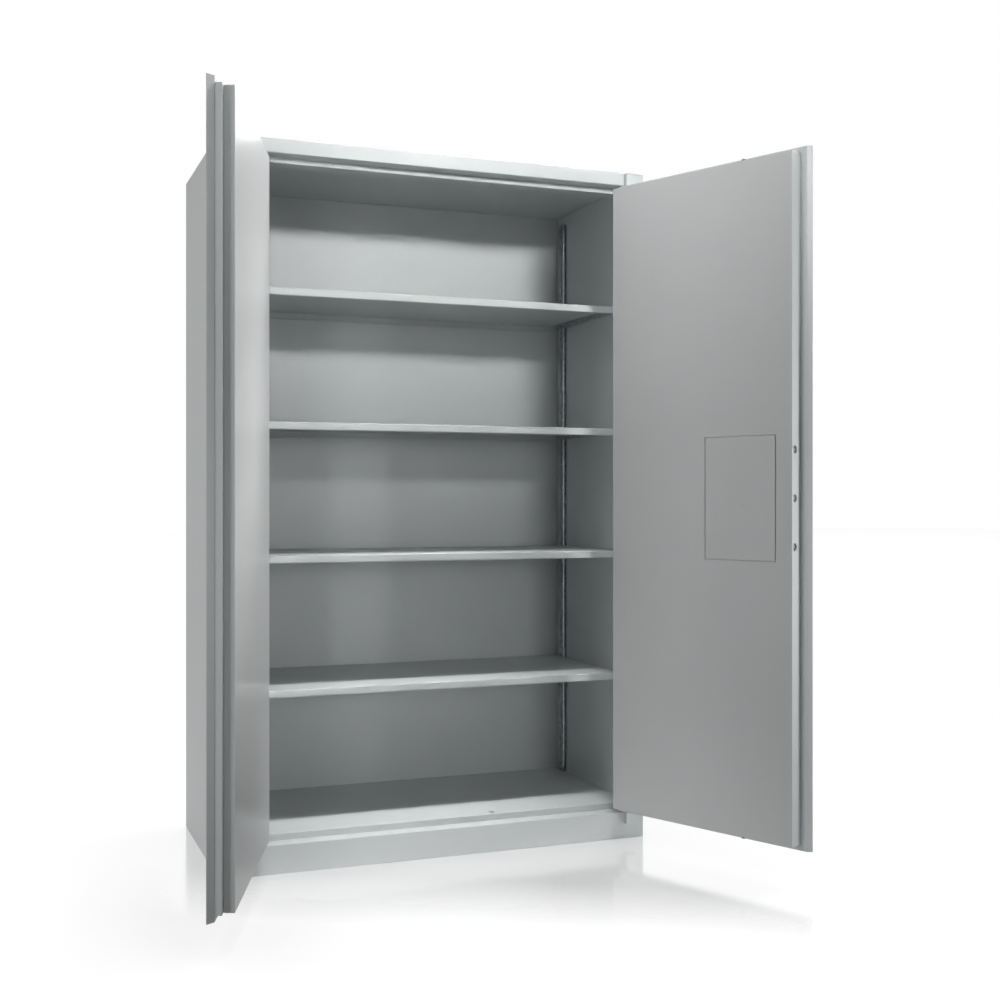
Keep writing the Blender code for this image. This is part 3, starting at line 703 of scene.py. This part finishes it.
def lock_axis(node):
    """Middle of a round lock part, and the radius that goes through the door plate."""
    low, high = closed_box(RIGHT_DOOR, node)
    middle = (low + high) / 2
    inner_end = [corner for corner in closed_corners(RIGHT_DOOR, node) if corner.y > high.y - PIN_CLEARANCE]
    radius = max(math.hypot(corner.x - middle.x, corner.z - middle.z) for corner in inner_end)
    return middle, radius


def lock_hole_cutters(start, end):
    """Tools for the holes of the spindle and the key cylinder, between two depths."""
    cutters = []
    for node in ("lock_spindle", "key_cylinder"):
        middle, radius = lock_axis(node)
        profile = rounded_bar(radius + PIN_CLEARANCE, (start, end), PIN_CLEARANCE)
        cutters.append(turned(profile, "y", (middle.x, middle.z)))
    return cutters


def lock_case_cutters(tray_front):
    """Tools for the recess of the lock cover, the case behind it, and the case's holes to the outside."""
    cover_low, cover_high = closed_box(RIGHT_DOOR, "lock_cover")
    groove = Vector((COVER_GROOVE, COVER_GROOVE, COVER_GROOVE))
    ledge = Vector((COVER_LEDGE, 0.0, COVER_LEDGE))
    case_floor = tray_front + CASE_FLOOR
    case_low = Vector((cover_low.x, case_floor, cover_low.z)) + ledge
    return [
        block(cover_low - groove, cover_high + groove + Vector((0.0, OVERCUT, 0.0)), COVER_EDGE),
        block(case_low, cover_high - ledge, COVER_EDGE),
        *lock_hole_cutters(tray_front - OVERCUT, case_floor + OVERCUT),
    ]


def bolt_and_rod_cutters(tray_low, tray_high):
    """Tools for the holes with chamfered mouths that the side bolts and the two rods come out of."""
    cutters = []
    for number in numbers_of("side_bolt_"):
        low, high = closed_box(RIGHT_DOOR, "side_bolt_%d" % number)
        middle = (low + high) / 2
        radius = (high.z - low.z) / 2 + BOLT_CLEARANCE
        profile = flared_cutter(radius, MOUTH, high.x, tray_low.x, tray_low.x - OVERCUT)
        cutters.append(turned(profile, "x", (middle.y, middle.z)))
    for rod, face, out in (("top_rod", tray_high.z, 1.0), ("bottom_rod", tray_low.z, -1.0)):
        low, high = closed_box(RIGHT_DOOR, rod)
        middle = (low + high) / 2
        radius = (high.x - low.x) / 2 + ROD_CLEARANCE
        profile = flared_cutter(radius, MOUTH, middle.z, face, face + OVERCUT * out)
        cutters.append(turned(profile, "z", (middle.x, middle.y)))
    return cutters


def make_right_door():
    """Outer plate, and an inner tray bored for bolts and rods and recessed for the lock cover."""
    low, high = closed_box(RIGHT_DOOR, "right_door_plate")
    holes = lock_hole_cutters(low.y - OVERCUT, high.y + OVERCUT)
    plate = cut_away(plate_shape(low, high, -1.0), holes)
    add_piece("right_outer_plate", plate, COAT, "right_door", ("right_door_plate",), RIGHT_DOOR)
    low, high = closed_box(RIGHT_DOOR, "right_door_inner")
    cutters = lock_case_cutters(low.y) + bolt_and_rod_cutters(low, high)
    tray = cut_away(block(low, high, DOOR_EDGE), cutters)
    piece = add_piece("right_inner_tray", tray, LINING_COAT, "right_door", ("right_door_inner",), RIGHT_DOOR)
    coat_edges(piece, COAT, RIGHT_DOOR)


def make_lock_cover():
    """Cover let in flush, with the spindle's end showing in its hole."""
    low, high = closed_box(RIGHT_DOOR, "lock_cover")
    inset = Vector((COVER_GROOVE, 0.0, COVER_GROOVE)) / 2
    middle, radius = lock_axis("lock_spindle")
    profile = flared_cutter(radius + PIN_CLEARANCE, SPINDLE_MOUTH, low.y - OVERCUT, high.y, high.y + OVERCUT)
    hole = turned(profile, "y", (middle.x, middle.z))
    shape = cut_away(block(low + inset, high - inset, COVER_EDGE), [hole])
    add_piece("lock_case_cover", shape, LINING_COAT, "right_door", ("lock_cover",), RIGHT_DOOR)


# Bolts, rods, handle and key cylinder

def make_bolt_work():
    """Round side bolts and rods with rounded ends, and the bar and spindle as the CAD has them."""
    for number in numbers_of("side_bolt_"):
        node = "side_bolt_%d" % number
        low, high = closed_box(RIGHT_DOOR, node)
        middle = (low + high) / 2
        bar = turned(rounded_bar((high.z - low.z) / 2, (low.x, high.x), BOLT_EDGE), "x", (middle.y, middle.z))
        add_piece("drawn_" + node, bar, BOLT_STEEL, "side_bolts", (node,), RIGHT_DOOR)
    for node, body in (("top_rod", "upper_rod"), ("bottom_rod", "lower_rod")):
        low, high = closed_box(RIGHT_DOOR, node)
        middle = (low + high) / 2
        bar = turned(rounded_bar((high.x - low.x) / 2, (low.z, high.z), ROD_EDGE), "z", (middle.x, middle.y))
        add_piece("drawn_" + node, bar, BOLT_STEEL, body, (node,), RIGHT_DOOR)
    dress_node("bolt_bar", BOLT_STEEL)
    dress_node("lock_spindle", LINING_COAT)


def make_handle():
    """Rosette and neck as rings round the spindle, and a lever that tapers to a round tip."""
    spindle, bore = lock_axis("lock_spindle")
    bore += PIN_CLEARANCE
    for name, node, body, edge in (
        ("lever_rosette", "handle_rosette", "right_door", ROSETTE_EDGE),
        ("lever_neck", "lever_hub", "handle", HUB_EDGE),
    ):
        low, high = closed_box(RIGHT_DOOR, node)
        profile = ring_profile(bore, (high.z - low.z) / 2, low.y, high.y, edge)
        ring = turned(profile, "y", (spindle.x, spindle.z), closed=True)
        add_piece(name, ring, CHROME, body, (node,), RIGHT_DOOR)
    low, high = closed_box(RIGHT_DOOR, "lever_arm")
    root = (high.z - low.z) / 2
    tip = high.x - LEVER_TIP_RADIUS
    outline = []
    for centre, radius, start in ((spindle.x, root, 90.0), (tip, LEVER_TIP_RADIUS, -90.0)):
        for step in range(TURN_STEPS // 2 + 1):
            angle = math.radians(start + 360.0 * step / TURN_STEPS)
            outline.append((centre + radius * math.cos(angle), spindle.z + radius * math.sin(angle)))
    arm = pushed(outline, "xz", (low.y, high.y), LEVER_EDGE)
    add_piece("lever_grip", arm, CHROME, "handle", ("lever_arm",), RIGHT_DOOR)


def make_key_cylinder():
    """Flanged ring round a plug with a keyway in its face."""
    low, high = closed_box(RIGHT_DOOR, "key_cylinder")
    plug_low, plug_high = closed_box(RIGHT_DOOR, "key_plug")
    middle = (low + high) / 2
    axis = (middle.x, middle.z)
    plug_radius = (plug_high.z - plug_low.z) / 2
    profile = ring_profile(plug_radius + PIN_CLEARANCE, (high.z - low.z) / 2, low.y, high.y, KEY_EDGE)
    ring = turned(profile, "y", axis, closed=True)
    add_piece("key_cylinder_body", ring, NICKEL, "right_door", ("key_cylinder",), RIGHT_DOOR)
    plug = turned(rounded_bar(plug_radius, (plug_low.y, plug_high.y), PIN_CLEARANCE), "y", axis)
    face = Vector((middle.x, plug_low.y, middle.z))
    half = Vector(KEYWAY) / 2
    keyway = block(face - half, face + half, PIN_CLEARANCE)
    add_piece("key_plug_front", cut_away(plug, [keyway]), NICKEL, "plug", ("key_plug",), RIGHT_DOOR)


# Stage, light and camera

def background_share(tree):
    """Light Path share that is 1 for rays from the eye, or through gloss or glass."""
    path = add_node(tree, "ShaderNodeLightPath")
    straight = add_node(
        tree,
        "ShaderNodeMath",
        {"operation": "MAXIMUM"},
        {0: path.outputs["Is Camera Ray"], 1: path.outputs["Is Glossy Ray"]},
    )
    return add_node(
        tree,
        "ShaderNodeMath",
        {"operation": "MAXIMUM"},
        {0: straight.outputs["Value"], 1: path.outputs["Is Transmission Ray"]},
    ).outputs["Value"]


def polished_white_floor():
    """White lacquered floor: painted shade dims its glow close to the cabinet, and a blurred mirror image
    fades forward.
    """
    sockets = {
        "Base Color": hex_colour(FLOOR_COLOUR),
        "Emission Color": WHITE,
        "Roughness": 1.0,
        "Specular IOR Level": 0.0,
    }
    material, tree, shader, place = new_finish("polished_white_floor", sockets)
    # Painted shade: the glow is dimmed where ambient occlusion finds the cabinet within SHADE_REACH
    open_share = add_node(
        tree, "ShaderNodeAmbientOcclusion", {"samples": SHADE_SAMPLES, "Distance": SHADE_REACH}
    )
    shade = add_node(
        tree,
        "ShaderNodeMapRange",
        {"To Min": FLOOR_GLOW * FLOOR_PAINTED_SHADE, "To Max": FLOOR_GLOW},
        {"Value": open_share.outputs["AO"]},
    )
    glow = add_node(
        tree,
        "ShaderNodeMath",
        {"operation": "MULTIPLY"},
        {0: background_share(tree), 1: shade.outputs["Result"]},
    )
    tree.links.new(glow.outputs["Value"], shader.inputs["Emission Strength"])
    turned_place = add_node(
        tree,
        "ShaderNodeMapping",
        {
            "Rotation": (0.0, 0.0, math.radians(-SHEEN_TURN)),
            "Scale": (1 / SHEEN_FADE, 1 / SHEEN_FADE, 1.0),
            "Location": (SHEEN_END / SHEEN_FADE, 0.0, 0.0),
        },
        {"Vector": place},
    )
    fade = add_node(tree, "ShaderNodeTexGradient", links={"Vector": turned_place.outputs["Vector"]})
    share = add_node(
        tree, "ShaderNodeMath", {"operation": "MULTIPLY", 1: SHEEN_SHARE}, {0: fade.outputs["Fac"]}
    )
    mirror = add_node(tree, "ShaderNodeBsdfGlossy", {"Color": WHITE, "Roughness": SHEEN_BLUR})
    surface = add_node(
        tree,
        "ShaderNodeMixShader",
        links={0: share.outputs["Value"], 1: shader.outputs["BSDF"], 2: mirror.outputs["BSDF"]},
    )
    tree.links.new(surface.outputs["Shader"], tree.nodes["Material Output"].inputs["Surface"])
    return material


def make_floor():
    """Wide floor under the cabinet, which isn't part of it."""
    shape = bmesh.new()
    bmesh.ops.create_grid(shape, x_segments=1, y_segments=1, size=FLOOR_SIZE / 2)
    floor = new_object("studio_floor", shape)
    floor.data.materials.append(polished_white_floor())


def make_world():
    """White round the stage, and an even light of its own on the cabinet."""
    world = bpy.data.worlds.new("studio")
    world.use_nodes = True
    tree = world.node_tree
    tree.nodes.clear()
    light = add_node(tree, "ShaderNodeBackground", {"Color": WHITE, "Strength": WORLD_LIGHT})
    white = add_node(tree, "ShaderNodeBackground", {"Color": WHITE, "Strength": 1.0})
    seen = add_node(
        tree,
        "ShaderNodeMixShader",
        links={0: background_share(tree), 1: light.outputs[0], 2: white.outputs[0]},
    )
    add_node(tree, "ShaderNodeOutputWorld", links={"Surface": seen.outputs[0]})
    bpy.context.scene.world = world


def make_lamps():
    """Soft boxes that light the cabinet but don't show themselves."""
    for name, (place, aim, size, power, spread) in LAMPS.items():
        data = bpy.data.lights.new(name, "AREA")
        data.shape = "RECTANGLE"
        data.size, data.size_y = size
        data.energy = power
        data.spread = math.radians(spread)
        lamp = bpy.data.objects.new(name, data)
        lamp.location = place
        lamp.rotation_euler = (Vector(aim) - Vector(place)).to_track_quat("-Z", "Y").to_euler()
        lamp.visible_camera = False
        bpy.context.scene.collection.objects.link(lamp)


def make_camera():
    """Level camera, whose shift puts the cabinet where the photograph has it."""
    data = bpy.data.cameras.new("viewpoint")
    data.lens = LENS
    data.sensor_width = SENSOR
    data.shift_x, data.shift_y = CAMERA_SHIFT
    camera = bpy.data.objects.new("viewpoint", data)
    camera.location = CAMERA_PLACE
    camera.rotation_euler = (LEVEL_VIEW, 0.0, math.radians(-CAMERA_YAW))
    bpy.context.scene.collection.objects.link(camera)
    bpy.context.scene.camera = camera


make_camera()
make_front_frame()
make_shell()
make_floor_and_stops()
make_uprights()
make_shelves()
make_hinges()
make_left_door()
make_right_door()
make_lock_cover()
make_bolt_work()
make_handle()
make_key_cylinder()
make_floor()
make_world()
make_lamps()
bpy.context.scene.view_settings.view_transform = "Standard"
